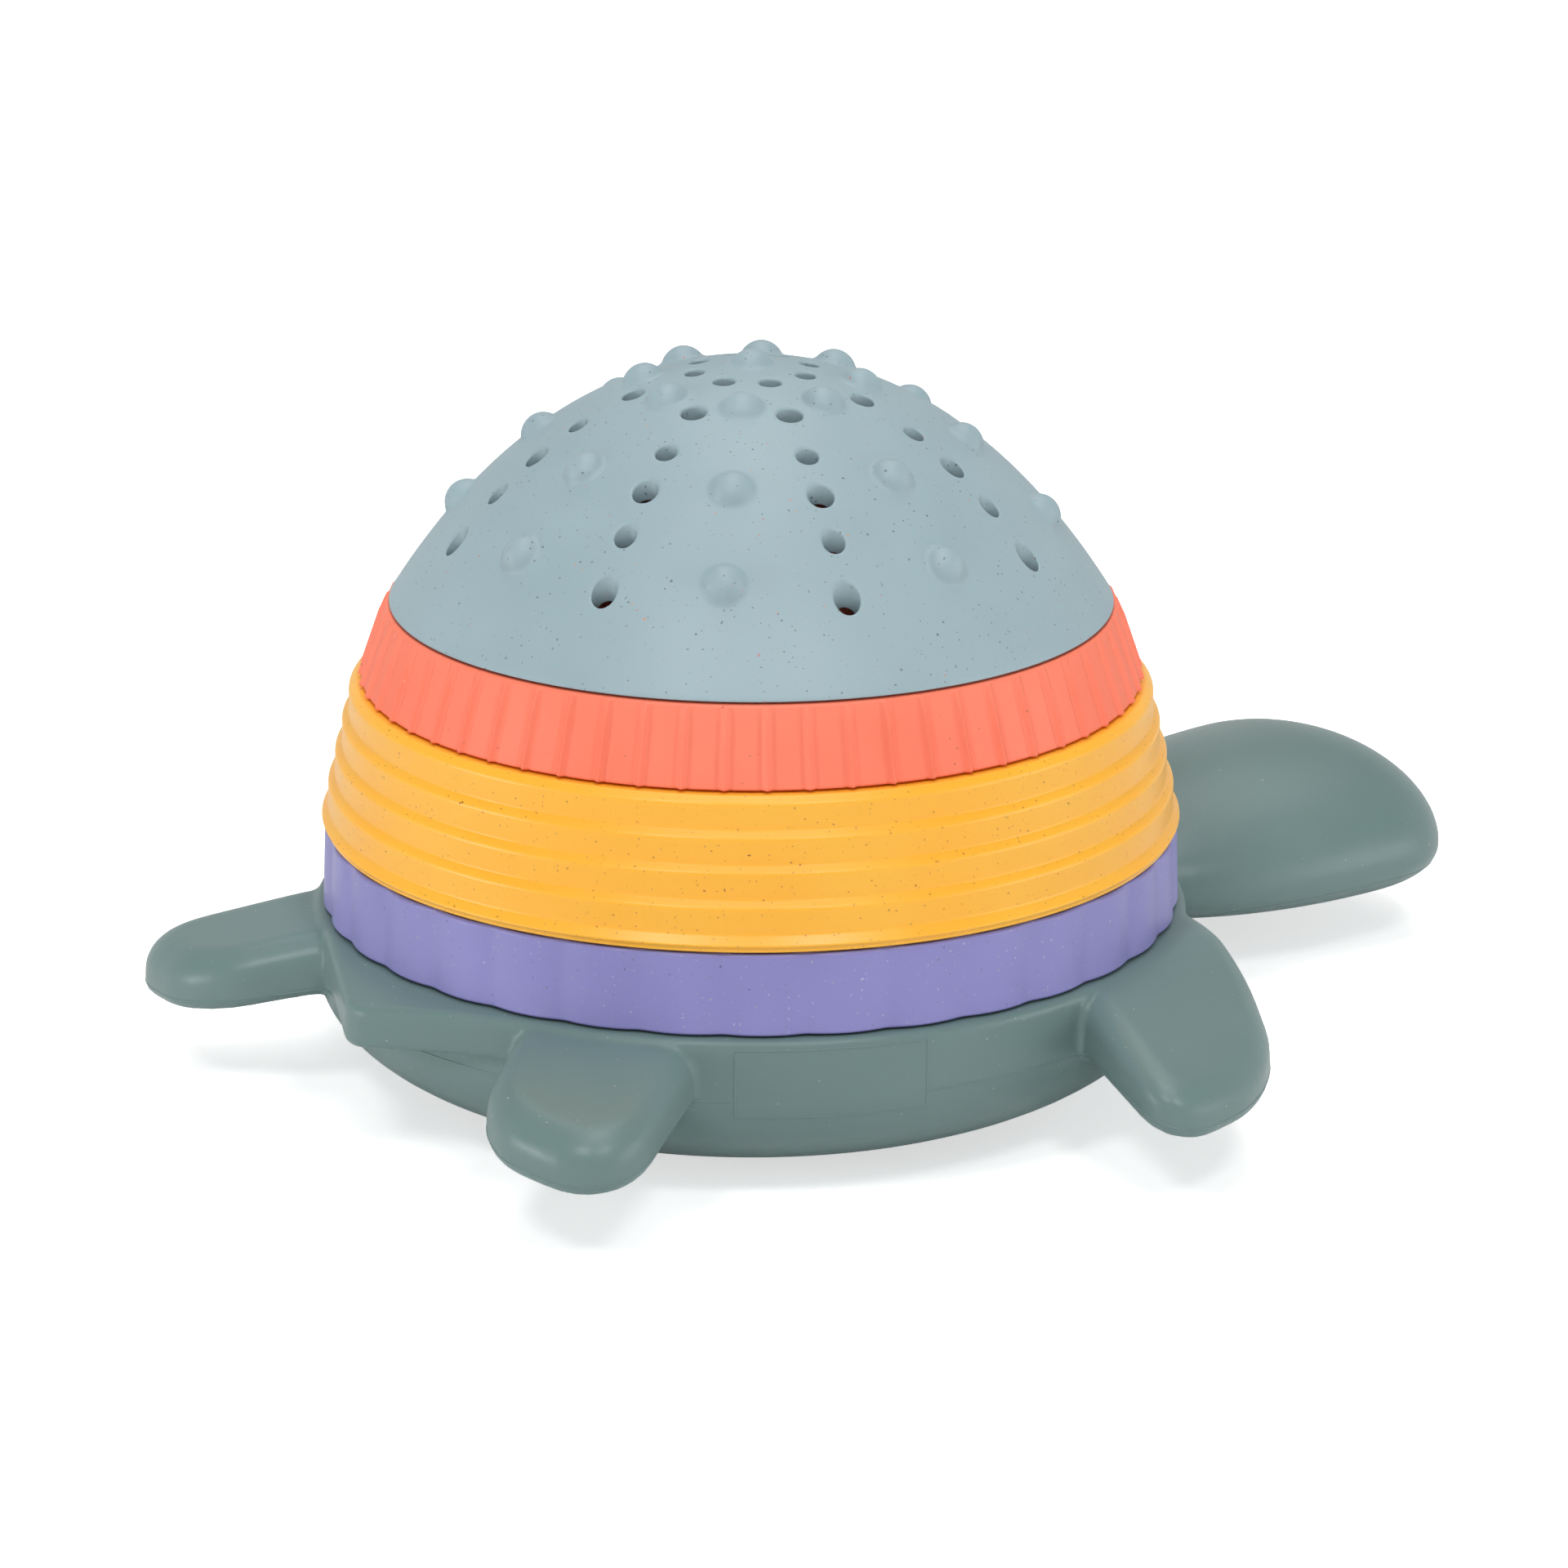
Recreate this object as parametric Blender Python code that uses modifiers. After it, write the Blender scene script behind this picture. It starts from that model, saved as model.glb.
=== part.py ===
# Turtle stacking toy: a floating turtle base in soft silicone and four plastic shell layers.
# Each layer is an upside-down cup. Its rim rests on the shoulder of the piece below, and the
# neck of the piece below centres it, so every layer lifts straight off.
# Metres, +Z up, head along +X, origin on the stack's axis at the flat foot of the hull.

from math import acos, atan2, cos, degrees, pi, radians, sin, sqrt, tan

import bmesh
import bpy
from mathutils import Matrix, Vector

# Fits shared by all the layers
SEAT_GAP = 0.0003          # between a rim and the shoulder that carries it
NECK_PLAY = 0.0006         # between a neck and the layer that slips over it
LAYER_WALL = 0.0022
LAYER_FLOOR = 0.0020       # closed top of a layer
NECK_HEIGHT = 0.0045       # of a neck above its shoulder
RIM_ROUND = 0.0005         # on the lower outer edge of a layer

# Turtle base: hull
HULL_DEPTH = 0.0232        # foot to deck
FOOT_RADIUS = 0.0282
DECK_LEDGE = 0.0011        # deck outside the lowest layer
DECK_ROUND = 0.0010
SIDE_HEIGHT = 0.0080       # upright side, deck to the mould's parting line
HULL_FLOOR = 0.0040        # thickness under the dish
DISH_FOOT_RADIUS = 0.0235
COLLAR_HEIGHT = 0.0030     # rim above the deck that centres the lowest layer
COLLAR_WALL = 0.0025

# Turtle base: head
HEAD_REACH = 0.1152        # axis to the nose
HEAD_ROOT = 0.0088         # back end of the head's egg, inside the deck's edge
HEAD_WIDE_AT = 0.0174      # widest place, back from the nose
HEAD_WIDTH = 0.0517
HEAD_RISE = 0.0035         # crown above the deck
HEAD_DROP = 0.0183         # chin below the deck
HEAD_CHEEK = 0.0098        # widest level below the deck
HEAD_FULLNESS = 0.12       # bluntness of the nose

# Turtle base: flippers and tail. A corner of a flipper's outline is its distance outside the
# deck's edge, its angle from the head in degrees and its rounding.
FLIPPER_TOP_ROUND = 0.0037
FLIPPER_EDGE_ROUND = 0.0022
FLIPPER_SINK = 0.0002      # top of a flipper below the deck where it leaves the hull
ROOT_DEPTH = 0.0080        # buried in the hull
FRONT_OUTLINE = ((-ROOT_DEPTH, 30.0, 0), (0.0078, 52.0, 0.0200), (0.0216, 70.0, 0.0160),
                 (0.0259, 87.8, 0.0058), (-ROOT_DEPTH, 79.5, 0))
FRONT_THICKNESS = 0.0089
FRONT_ANGLE = 75           # way that it slopes down
FRONT_DROOP = 12.5         # slope in degrees
REAR_OUTLINE = ((-ROOT_DEPTH, 134.0, 0), (0.0279, 139.2, 0.0079), (0.0176, 155.4, 0.0079),
                (-ROOT_DEPTH, 161.2, 0))
REAR_THICKNESS = 0.0079
REAR_ANGLE = 146
REAR_DROOP = 13.0
TAIL_REACH = 0.0077        # tip outside the deck's edge
TAIL_THICKNESS = 0.0056
TAIL_ROUND = 0.0045
TAIL_DROOP = 13.0

# Lobed ring, the lowest layer
LOBED_RADIUS = 0.0572      # crest of the lobes at the rim
LOBED_HEIGHT = 0.0107
LOBED_DRAFT = 0.0004
LOBE_COUNT = 34
LOBE_DEPTH = 0.0006
LOBE_TURN = 0.36           # degrees

# Banded ring
BANDED_OVERHANG = 0.0004   # past the shoulder that it rests on
BANDED_HEIGHT = 0.0192
BANDED_DRAFT = 0.0049
BAND_COUNT = 5             # flares that set its wall out, step by step
BAND_FLARE = 0.0009        # height of a flare
LIP_HEIGHT = 0.0013
LIP_DEPTH = 0.0003

# Ribbed ring
RIBBED_STEP = 0.0006       # shoulder left outside it
RIBBED_HEIGHT = 0.0101
RIBBED_DRAFT = 0.0035
RIBBED_CROWN = 0.0001      # outward curve of its wall
RIB_COUNT = 60
RIB_WIDTH = 0.0011
RIB_HEIGHT = 0.0004
RIB_STOP = 0.0016          # plain band above the ribs
RIB_TURN = -0.2            # degrees

# Sieve dome
DOME_STEP = 0.0003         # shoulder left outside it
DOME_HEIGHT = 0.0316
DOME_FULLNESS = 0.2        # share of the fourth power in its curve
DOME_WALL = 0.0022
DOME_RIM_WALL = 0.0026
DOME_COLUMNS = 8
DOME_TURN = 1.5            # of its rows of bumps, in degrees
HOLE_WIDTH = 0.0034
HOLE_LENGTH = 0.0030       # along the slope, seen from above
HOLE_ROWS = (0.163, 0.336, 0.491, 0.608, 0.719, 0.834)   # places from the crown to the rim
BUMP_WIDTH = 0.0062
BUMP_HEIGHT = 0.0019
BUMP_ROWS = (0.300, 0.586, 0.803)

# Facets
TURN_STEPS = 48
EDGE_STEPS = 3
CORNER_STEPS = 5
LOBE_STEPS = 4
CROWN_STEPS = 4
BOWL_STEPS = 6
DOME_STEPS = 8
HEAD_SIDES = 28
HEAD_RINGS = 14
BUMP_SIDES = 8
BUMP_RINGS = 5
HOLE_SIDES = 8
SHARP_ANGLE = 35           # degrees
MERGE = 0.00001

# Levels and radii that follow from the sizes above
deck = HULL_DEPTH
deckRadius = LOBED_RADIUS + DECK_LEDGE
lobedInside = LOBED_RADIUS - LOBE_DEPTH - LAYER_WALL
lobedShoulder = LOBED_RADIUS - LOBED_DRAFT
bandedRadius = lobedShoulder + BANDED_OVERHANG
bandedShoulder = bandedRadius - BANDED_DRAFT
bandStep = BANDED_DRAFT / BAND_COUNT
bandedInside = bandedRadius - bandStep - LAYER_WALL
ribbedRadius = bandedShoulder - RIBBED_STEP
ribbedInside = ribbedRadius - LAYER_WALL
ribbedShoulder = ribbedRadius - RIBBED_DRAFT
domeRadius = ribbedShoulder - DOME_STEP
domeInside = domeRadius - DOME_RIM_WALL


def clear_scene():
    for old in list(bpy.data.objects):
        bpy.data.objects.remove(old, do_unlink=True)


def new_collection(name):
    group = bpy.data.collections.new(name)
    bpy.context.scene.collection.children.link(group)
    return group


def new_material(name, colour, roughness):
    material = bpy.data.materials.new(name)
    material.use_nodes = True
    shader = material.node_tree.nodes["Principled BSDF"]
    channels = [int(colour[i:i + 2], 16) / 255 for i in (1, 3, 5)]
    linear = [c / 12.92 if c <= 0.04045 else ((c + 0.055) / 1.055) ** 2.4 for c in channels]
    shader.inputs["Base Color"].default_value = (*linear, 1)
    shader.inputs["Roughness"].default_value = roughness
    shader.inputs["Metallic"].default_value = 0
    return material


def new_object(name, mesh, group, carrier):
    part = bpy.data.objects.new(name, mesh)
    group.objects.link(part)
    part.parent = carrier
    return part


def from_bmesh(name, shape, group, carrier):
    mesh = bpy.data.meshes.new(name)
    shape.to_mesh(mesh)
    shape.free()
    mesh.shade_smooth()
    mesh.set_sharp_from_angle(angle=radians(SHARP_ANGLE))
    return new_object(name, mesh, group, carrier)


def hide_tool(tool):
    tool.hide_render = True
    tool.display_type = "WIRE"


# A turned solid from points (radius, height) that run down its outer side
def turned(name, profile, group, carrier, steps=TURN_STEPS):
    mesh = bpy.data.meshes.new(name)
    points = [(radius, 0, height) for radius, height in profile]
    mesh.from_pydata(points, [(i, i + 1) for i in range(len(points) - 1)], [])
    part = new_object(name, mesh, group, carrier)
    screw = part.modifiers.new("Turn", "SCREW")
    screw.axis = "Z"
    screw.steps = steps
    screw.render_steps = steps
    screw.use_merge_vertices = True
    screw.merge_threshold = MERGE
    screw.use_smooth_shade = True
    return part


def cut_with(part, tool, operation):
    hide_tool(tool)
    change = part.modifiers.new(tool.name, "BOOLEAN")
    change.operation = operation
    change.solver = "EXACT"
    change.object = tool


# Quarter ellipse between two levels, from its side to its end on the level
def quarter(centre_radius, side_radius, side_level, end_level, steps):
    points = []
    for i in range(steps + 1):
        a = pi / 2 * i / steps
        radius = centre_radius + (side_radius - centre_radius) * cos(a)
        points.append((radius, side_level + (end_level - side_level) * sin(a)))
    return points


# Quarter turn round an outer edge, from the flat on top to the wall below
def rounded_edge(radius, level, size):
    points = []
    for i in range(EDGE_STEPS + 1):
        a = pi / 2 * i / EDGE_STEPS
        points.append((radius - size + size * sin(a), level - size + size * cos(a)))
    return points


# Radius of a layer's inside at a height above its rim
def cone_inside(inside, draft, height, level):
    return inside - draft * level / height


def dome_level(radius, rim_radius, height):
    share = radius / rim_radius
    return height * (1 - (1 - DOME_FULLNESS) * share ** 2 - DOME_FULLNESS * share ** 4)


def dome_inside(level):
    left = 1 - level / (DOME_HEIGHT - DOME_WALL)
    root = sqrt((1 - DOME_FULLNESS) ** 2 + 4 * DOME_FULLNESS * left)
    return domeInside * sqrt((root - 1 + DOME_FULLNESS) / (2 * DOME_FULLNESS))


# Closed top and neck of a layer, down to its shoulder's inner corner
def neck_profile(shoulder, inside_above):
    top = shoulder + NECK_HEIGHT
    return [
        (0, top),
        (inside_above(NECK_HEIGHT) - NECK_PLAY - RIM_ROUND, top),
        (inside_above(NECK_HEIGHT) - NECK_PLAY, top - RIM_ROUND),
        (inside_above(0) - NECK_PLAY, shoulder),
    ]


# Inside of a layer, from its rim up to the underside of its closed top
def inside_profile(rim_inside, skirt_height, shoulder_inside, neck_inside):
    under_shoulder = skirt_height - LAYER_FLOOR
    under_top = skirt_height + NECK_HEIGHT - LAYER_FLOOR
    return [
        (rim_inside, 0),
        (shoulder_inside, under_shoulder),
        (min(neck_inside, shoulder_inside), under_shoulder),
        (min(neck_inside, shoulder_inside), under_top),
        (0, under_top),
    ]


def banded_above(level):
    return cone_inside(bandedInside, BANDED_DRAFT, BANDED_HEIGHT, level)


def ribbed_above(level):
    return cone_inside(ribbedInside, RIBBED_DRAFT, RIBBED_HEIGHT, level)


# Flat slab over an outline, with rounded edges, that slopes down away from the hull
def paddle(name, outline, thickness, top_round, edge_round, out, droop, group):
    top = deck - FLIPPER_SINK
    shape = bmesh.new()
    floor = shape.faces.new([shape.verts.new((x, y, top - thickness)) for x, y in outline])
    raised = bmesh.ops.extrude_face_region(shape, geom=[floor], use_keep_orig=True)
    roof = [v for v in raised["geom"] if isinstance(v, bmesh.types.BMVert)]
    bmesh.ops.translate(shape, verts=roof, vec=(0, 0, thickness))
    bmesh.ops.recalc_face_normals(shape, faces=shape.faces)
    for level, size in ((top, top_round), (top - thickness, edge_round)):
        rim = [e for e in shape.edges if all(abs(v.co.z - level) < MERGE for v in e.verts)]
        bmesh.ops.bevel(shape, geom=rim, offset=size, segments=EDGE_STEPS, profile=0.5,
                        affect="EDGES", clamp_overlap=True)
    for v in shape.verts:
        away = v.co.x * out[0] + v.co.y * out[1] - deckRadius
        v.co.z -= tan(radians(droop)) * max(0, away)
    return from_bmesh(name, shape, group, None)


# Outline through corner points, each corner rounded by its own radius
def rounded_outline(corners):
    outline = []
    count = len(corners)
    for i, (point, radius) in enumerate(corners):
        here = Vector(point)
        before = (Vector(corners[i - 1][0]) - here).normalized()
        after = (Vector(corners[(i + 1) % count][0]) - here).normalized()
        if radius == 0:
            outline.append(tuple(here))
            continue
        half = before.angle(after) / 2
        centre = here + (before + after).normalized() * radius / sin(half)
        reach = radius * cos(half) / sin(half)
        first = here + before * reach - centre
        last = here + after * reach - centre
        turn = first.angle_signed(last)
        for k in range(CORNER_STEPS + 1):
            spoke = first.copy()
            spoke.rotate(Matrix.Rotation(-turn * k / CORNER_STEPS, 2))
            outline.append(tuple(centre + spoke))
    return outline


# Corners in plan from an outline that is given round the deck, on the turtle's left or right
def in_plan(outline, side):
    corners = []
    for outside, angle, size in outline:
        radius = deckRadius + outside
        corners.append(((radius * cos(radians(angle)), side * radius * sin(radians(angle))), size))
    return corners


def flipper(name, side, outline, thickness, angle, droop, group):
    out = (cos(radians(angle)), side * sin(radians(angle)))
    return paddle(name, rounded_outline(in_plan(outline, side)), thickness,
                  FLIPPER_TOP_ROUND, FLIPPER_EDGE_ROUND, out, droop, group)


# Blunt wedge whose flanks leave the deck's edge as tangents
def tail(group):
    flank = degrees(acos(deckRadius / (deckRadius + TAIL_REACH)))
    outline = [(0, 180 - flank, 0), (TAIL_REACH, 180, TAIL_ROUND), (0, 180 + flank, 0),
               (-ROOT_DEPTH, 180 + flank, 0), (-ROOT_DEPTH, 180 - flank, 0)]
    return paddle("tail_form", rounded_outline(in_plan(outline, 1)), TAIL_THICKNESS,
                  DECK_ROUND, DECK_ROUND, (-1, 0), TAIL_DROOP, group)


# Egg-shaped head: a ball stretched to its own length before and behind its widest place
def head(group):
    shape = bmesh.new()
    bmesh.ops.create_uvsphere(shape, u_segments=HEAD_SIDES, v_segments=HEAD_RINGS, radius=1)
    widest = HEAD_REACH - HEAD_WIDE_AT
    behind = widest - deckRadius + HEAD_ROOT
    level = deck - HEAD_CHEEK
    for v in shape.verts:
        ahead = HEAD_WIDE_AT if v.co.x > 0 else behind
        height = HEAD_CHEEK + HEAD_RISE if v.co.z > 0 else HEAD_DROP - HEAD_CHEEK
        full = 1 + HEAD_FULLNESS * max(0, v.co.x) ** 2
        v.co = (widest + v.co.x * ahead, v.co.y * full * HEAD_WIDTH / 2, level + v.co.z * full * height)
    return from_bmesh("head_form", shape, group, None)


def turtle_base(group, tools, axis):
    side_foot = deck - SIDE_HEIGHT
    collar = lobedInside - NECK_PLAY
    profile = [(0, deck + COLLAR_HEIGHT), (collar - RIM_ROUND, deck + COLLAR_HEIGHT),
               (collar, deck + COLLAR_HEIGHT - RIM_ROUND), (collar, deck)]
    profile += rounded_edge(deckRadius, deck, DECK_ROUND)
    profile += quarter(FOOT_RADIUS, deckRadius, side_foot, 0, BOWL_STEPS)
    profile.append((0, 0))
    base = turned("turtle_base", profile, group, axis)
    cut_with(base, head(tools), "UNION")
    cut_with(base, tail(tools), "UNION")
    for side, hand in ((1, "left"), (-1, "right")):
        front = flipper(f"front_{hand}_flipper_form", side, FRONT_OUTLINE, FRONT_THICKNESS,
                        FRONT_ANGLE, FRONT_DROOP, tools)
        rear = flipper(f"rear_{hand}_flipper_form", side, REAR_OUTLINE, REAR_THICKNESS,
                       REAR_ANGLE, REAR_DROOP, tools)
        cut_with(base, front, "UNION")
        cut_with(base, rear, "UNION")
    dish = collar - COLLAR_WALL
    brim = deck + COLLAR_HEIGHT + SEAT_GAP
    bowl = [(0, brim), (dish, brim)] + quarter(DISH_FOOT_RADIUS, dish, side_foot, HULL_FLOOR, BOWL_STEPS)
    bowl.append((0, HULL_FLOOR))
    cut_with(base, turned("dish_cutter", bowl, tools, None), "DIFFERENCE")
    return base


# Skirt with convex lobes that meet in cusps, closed by its neck and hollowed from below
def lobed_ring(group, tools, axis):
    shape = bmesh.new()
    rim = []
    for i in range(LOBE_COUNT * LOBE_STEPS):
        across = 2 * (i % LOBE_STEPS) / LOBE_STEPS - 1
        a = 2 * pi * (i / LOBE_STEPS - 0.5) / LOBE_COUNT
        radius = LOBED_RADIUS - LOBE_DEPTH * across ** 2
        rim.append(shape.verts.new((radius * cos(a), radius * sin(a), 0)))
    floor = shape.faces.new(rim)
    raised = bmesh.ops.extrude_face_region(shape, geom=[floor], use_keep_orig=True)
    roof = [v for v in raised["geom"] if isinstance(v, bmesh.types.BMVert)]
    narrow = lobedShoulder / LOBED_RADIUS
    bmesh.ops.scale(shape, verts=roof, vec=(narrow, narrow, 1))
    bmesh.ops.translate(shape, verts=roof, vec=(0, 0, LOBED_HEIGHT))
    bmesh.ops.recalc_face_normals(shape, faces=shape.faces)
    ring = from_bmesh("lobed_ring", shape, group, axis)
    neck = neck_profile(LOBED_HEIGHT, banded_above)
    neck += [(neck[-1][0], LOBED_HEIGHT - LAYER_FLOOR / 2), (0, LOBED_HEIGHT - LAYER_FLOOR / 2)]
    cut_with(ring, turned("lobed_neck_form", neck, tools, axis), "UNION")
    neck_inside = banded_above(NECK_HEIGHT) - NECK_PLAY - LAYER_WALL
    hollow = inside_profile(lobedInside, LOBED_HEIGHT, lobedInside - LOBED_DRAFT, neck_inside)
    hollow = [(hollow[0][0], -SEAT_GAP)] + hollow[1:]
    hollow = hollow[::-1] + [(0, -SEAT_GAP)]
    cut_with(ring, turned("lobed_hollow_cutter", hollow, tools, axis), "DIFFERENCE")
    return ring


# Wall of upright bands, each set out from the one above by a short flare, over a thin lip
def banded_ring(group, axis):
    upright = (BANDED_HEIGHT - LIP_HEIGHT - BAND_COUNT * BAND_FLARE) / (BAND_COUNT - 1)
    outer = []
    for k in range(BAND_COUNT):
        level = BANDED_HEIGHT - k * (BAND_FLARE + upright)
        radius = bandedShoulder + k * bandStep
        outer += [(radius, level), (radius + bandStep, level - BAND_FLARE)]
    lip = bandedRadius - LIP_DEPTH
    outer += [(lip, LIP_HEIGHT), (lip, RIM_ROUND), (lip - RIM_ROUND, 0)]
    profile = neck_profile(BANDED_HEIGHT, ribbed_above) + outer
    neck_inside = ribbed_above(NECK_HEIGHT) - NECK_PLAY - LAYER_WALL
    profile += inside_profile(bandedInside, BANDED_HEIGHT, banded_above(BANDED_HEIGHT), neck_inside)
    return turned("banded_ring", profile, group, axis)


# Slightly crowned conical wall with straight upright ribs
def ribbed_ring(group, tools, axis):
    def wall(level):
        share = level / RIBBED_HEIGHT
        return ribbedRadius - RIBBED_DRAFT * share + 4 * RIBBED_CROWN * share * (1 - share)

    levels = [(RIBBED_HEIGHT - RIM_ROUND) * i / CROWN_STEPS for i in range(CROWN_STEPS, 0, -1)]
    outer = [(wall(RIBBED_HEIGHT) - RIM_ROUND, RIBBED_HEIGHT)]
    outer += [(wall(level), level) for level in levels]
    outer += [(wall(RIM_ROUND), RIM_ROUND), (wall(0) - RIM_ROUND, 0)]
    profile = neck_profile(RIBBED_HEIGHT, dome_inside) + outer
    neck_inside = dome_inside(NECK_HEIGHT) - NECK_PLAY - LAYER_WALL
    profile += inside_profile(ribbedInside, RIBBED_HEIGHT, ribbed_above(RIBBED_HEIGHT), neck_inside)
    ring = turned("ribbed_ring", profile, group, axis, RIB_COUNT)
    ribs = bmesh.new()
    rib_top = RIBBED_HEIGHT - RIB_STOP
    rib_foot = RIM_ROUND
    for k in range(RIB_COUNT):
        placed = Matrix.Rotation(2 * pi * k / RIB_COUNT, 4, "Z")
        made = bmesh.ops.create_cube(ribs, size=1)["verts"]
        for v in made:
            level = rib_top if v.co.z > 0 else rib_foot
            depth = RIB_HEIGHT if v.co.x > 0 else -LAYER_WALL / 2
            v.co = placed @ Vector((wall(level) + depth, v.co.y * RIB_WIDTH, level))
    cut_with(ring, from_bmesh("rib_forms", ribs, tools, axis), "UNION")
    return ring


def sieve_dome(group, tools, axis):
    outer = [(domeRadius * i / DOME_STEPS, dome_level(domeRadius * i / DOME_STEPS, domeRadius, DOME_HEIGHT))
             for i in range(DOME_STEPS + 1)]
    inner_height = DOME_HEIGHT - DOME_WALL
    inner = [(domeInside * i / DOME_STEPS, dome_level(domeInside * i / DOME_STEPS, domeInside, inner_height))
             for i in range(DOME_STEPS + 1)]
    dome = turned("sieve_dome", outer + inner[::-1], group, axis)

    def spot(row, column):
        radius = row * domeRadius
        turn = radians(DOME_TURN) + 2 * pi * column / DOME_COLUMNS
        level = dome_level(radius, domeRadius, DOME_HEIGHT)
        return Matrix.Rotation(turn, 4, "Z") @ Matrix.Translation((radius, 0, level))

    def slope(row):
        fall = 2 * (1 - DOME_FULLNESS) * row + 4 * DOME_FULLNESS * row ** 3
        return Matrix.Rotation(atan2(DOME_HEIGHT * fall, domeRadius), 4, "Y")

    bumps = bmesh.new()
    button = Matrix.Diagonal((BUMP_WIDTH / 2, BUMP_WIDTH / 2, BUMP_HEIGHT, 1))
    places = [(0, 0)]
    places += [(row, k) for row in BUMP_ROWS for k in range(DOME_COLUMNS)]
    for row, column in places:
        bmesh.ops.create_uvsphere(bumps, u_segments=BUMP_SIDES, v_segments=BUMP_RINGS, radius=1,
                                  matrix=spot(row, column) @ slope(row) @ button)
    holes = bmesh.new()
    oval = Matrix.Diagonal((HOLE_LENGTH / 2, HOLE_WIDTH / 2, 1, 1))
    for row in HOLE_ROWS:
        for k in range(DOME_COLUMNS):
            bmesh.ops.create_cone(holes, cap_ends=True, segments=HOLE_SIDES, radius1=1, radius2=1,
                                  depth=DOME_HEIGHT / 2, matrix=spot(row, k + 0.5) @ oval)
    cut_with(dome, from_bmesh("bump_forms", bumps, tools, axis), "UNION")
    cut_with(dome, from_bmesh("hole_cutters", holes, tools, axis), "DIFFERENCE")
    return dome


def main():
    clear_scene()
    group = new_collection("turtle_stacking_toy")
    tools = new_collection("forms_and_cutters")
    level = deck + SEAT_GAP
    makers = (
        (lobed_ring, (group, tools), LOBE_TURN, LOBED_HEIGHT, "lilac_plastic", "#8b88c5", 0.38),
        (banded_ring, (group,), 0, BANDED_HEIGHT, "yellow_plastic", "#fdbd47", 0.42),
        (ribbed_ring, (group, tools), RIB_TURN, RIBBED_HEIGHT, "coral_plastic", "#fd876b", 0.40),
        (sieve_dome, (group, tools), 0, DOME_HEIGHT, "pale_blue_plastic", "#a6bcc3", 0.42),
    )
    base = turtle_base(group, tools, None)
    base.data.materials.append(new_material("grey_green_silicone", "#72857f", 0.55))
    for maker, groups, turn, height, name, colour, roughness in makers:
        seat = bpy.data.objects.new(maker.__name__ + "_seat", None)
        group.objects.link(seat)
        seat.location.z = level
        seat.rotation_euler.z = radians(turn)
        layer = maker(*groups, seat)
        layer.data.materials.append(new_material(name, colour, roughness))
        level += height + SEAT_GAP


main()
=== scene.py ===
from math import atan2, copysign, cos, degrees, hypot, pi, radians, sin, sqrt, tan

import bmesh
import bpy
from mathutils import Matrix, Vector
from mathutils.bvhtree import BVHTree


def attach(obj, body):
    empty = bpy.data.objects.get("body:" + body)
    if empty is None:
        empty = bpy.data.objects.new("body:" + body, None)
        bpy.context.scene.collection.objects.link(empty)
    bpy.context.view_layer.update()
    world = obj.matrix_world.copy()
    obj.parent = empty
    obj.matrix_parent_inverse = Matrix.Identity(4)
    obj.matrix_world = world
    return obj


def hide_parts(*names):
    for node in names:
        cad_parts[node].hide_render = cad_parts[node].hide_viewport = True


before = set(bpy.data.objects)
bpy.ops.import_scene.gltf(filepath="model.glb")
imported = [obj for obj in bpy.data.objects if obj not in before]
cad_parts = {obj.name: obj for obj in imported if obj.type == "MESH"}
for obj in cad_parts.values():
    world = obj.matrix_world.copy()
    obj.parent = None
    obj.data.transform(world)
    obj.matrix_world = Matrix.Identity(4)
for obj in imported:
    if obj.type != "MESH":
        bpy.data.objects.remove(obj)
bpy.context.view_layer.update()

# All shapes are drawn in millimetres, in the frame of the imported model: head along +X, foot at 0.
# finishPiece() brings them to metres.

toMetres = 0.001
weldDistance = 0.0001       # vertices closer than this become one

stack = {
    "deck": 23.2,           # top of the hull's side, which carries the lowest layer
    "deckRadius": 58.3,
    "lobedShoulder": 34.2,  # a shoulder carries the rim of the next layer
    "bandedShoulder": 53.7,
    "ribbedShoulder": 64.1,
    "seatGap": 0.3,         # under each layer's rim
    "neckHeight": 4.5,
    "topThickness": 2.0,
    # roundings of the corners that all rings have
    "neckRounding": 0.5, "creaseRounding": 0.2, "rimRounding": 0.3,
    "ceilingRounding": 0.8, "neckInsideRounding": 0.6,
}

# How the face of every moulding varies, with sizes in millimetres
skin = {
    "driftSize": 18, "driftEnds": (0.35, 0.65),   # patches of the two body tones, and their noise range
    "polishSize": 9, "polishSwing": 0.05,         # patches of more and less polish, and their roughness
    "grainDepth": 0.2,
    # a fleck, in shares of its size: waves of its ragged outline, least and greatest radius, soft edge
    "raggedSize": 1.5, "smallRadius": 0.25, "largeRadius": 0.5, "softEdge": 0.2,
}


def linearColour(code):
    channels = [int(code[i:i + 2], 16) / 255 for i in (1, 3, 5)]
    return tuple(c / 12.92 if c <= 0.04045 else ((c + 0.055) / 1.055) ** 2.4 for c in channels) + (1,)


# Adds a node, sets its properties and unlinked sockets, and links its other sockets
def addNode(tree, kind, settings, links=()):
    node = tree.nodes.new(kind)
    for name, value in settings.items():
        if hasattr(node, name):
            setattr(node, name, value)
        else:
            node.inputs[name].default_value = value
    for socket, source, output in links:
        tree.links.new(source.outputs[output], node.inputs[socket])
    return node


def perMetre(millimetres):
    return 1 / (millimetres * toMetres)


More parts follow.
